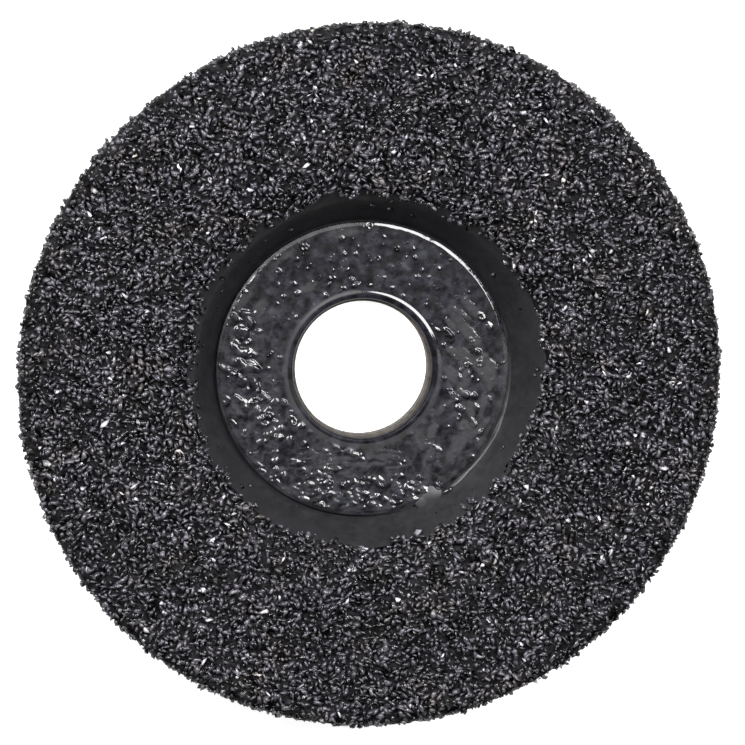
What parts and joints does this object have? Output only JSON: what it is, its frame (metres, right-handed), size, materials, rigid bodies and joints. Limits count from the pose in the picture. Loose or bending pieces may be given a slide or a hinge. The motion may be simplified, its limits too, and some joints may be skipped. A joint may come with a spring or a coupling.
{
  "type": "angle grinder carving disc",
  "caption": "Dished steel carving disc with a round spindle bore in a sunken, ring-reinforced hub, and coarse black carbide grit brazed over its working face, rim and outer back.",
  "frame": {"origin": "on the spindle axis, in the plane of the hub's lacquered back face, which the disc lies on", "axes": "+Z along the spindle axis towards the working face; the disc is round, so +X and +Y are any two square directions across it"},
  "size_m": [0.085, 0.085, 0.0102],
  "materials": {
    "steel": "bare pressed steel, brownish grey",
    "braze": "rough black",
    "grit": "broken carbide grains under black lacquer, glossy facets",
    "ring_lacquer": "glossy black lacquer with bubbles",
    "satin_lacquer": "satin black lacquer",
    "back_lacquer": "satin black lacquer, slightly worn"
  },
  "bodies": {
    "root": {"back_grit": "grit", "braze_layer": "braze", "face_grit_1": "grit", "face_grit_2": "grit", "face_grit_3": "grit", "face_grit_4": "grit", "face_grit_5": "grit", "face_grit_6": "grit", "face_grit_7": "grit", "face_grit_8": "grit", "hub_back_lacquer": "back_lacquer", "hub_ring": "steel", "rim_grit_back": "grit", "rim_grit_edge": "grit", "rim_grit_front": "grit", "ring_lacquer": "ring_lacquer", "steel_dish": "steel", "stray_grit": "grit", "throat_grit": "grit", "wall_back_lacquer": "back_lacquer", "wall_lacquer": "satin_lacquer"}
  },
  "joints": []
}
